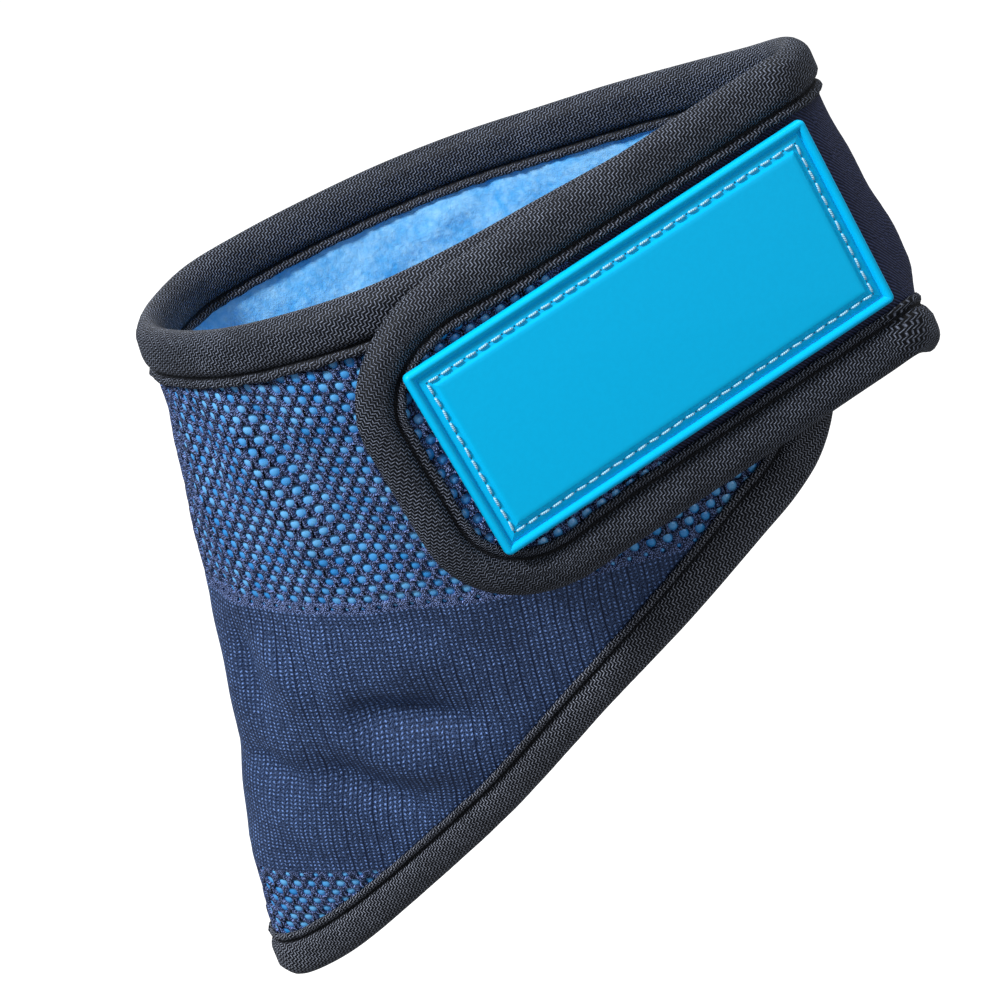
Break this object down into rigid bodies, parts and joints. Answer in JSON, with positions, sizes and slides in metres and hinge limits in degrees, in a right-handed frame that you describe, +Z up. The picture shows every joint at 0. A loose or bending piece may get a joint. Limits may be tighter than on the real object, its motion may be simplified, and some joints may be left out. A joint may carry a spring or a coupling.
{
  "type": "dog cooling scarf",
  "caption": "Closed fabric collar for a dog's neck with a hanging throat bib, taped edges, a lapped hook-and-loop closure and a plain rubber badge.",
  "frame": {"origin": "middle of the neck opening, in the plane of the rim, halfway from the throat fold to the nape fold", "axes": "+Z up as the scarf is worn by a standing dog, -X the way the dog faces (throat side), +X the nape, -Y the side with the closure and badge"},
  "size_m": [0.1622, 0.1003, 0.2146],
  "materials": {
    "outer_knit": "navy mesh and ribbed knit, matt",
    "lining_fleece": "light blue, soft brushed",
    "edge_twill": "charcoal twill, matt",
    "badge_rubber": "bright blue, satin",
    "closure_nylon": "black pile, matt"
  },
  "bodies": {
    "root": {"outer_cloth": "outer_knit", "lining": "lining_fleece", "neck_tape": "edge_twill", "hem_tape": "edge_twill", "badge": "badge_rubber", "closure_pad": "closure_nylon"}
  },
  "joints": []
}
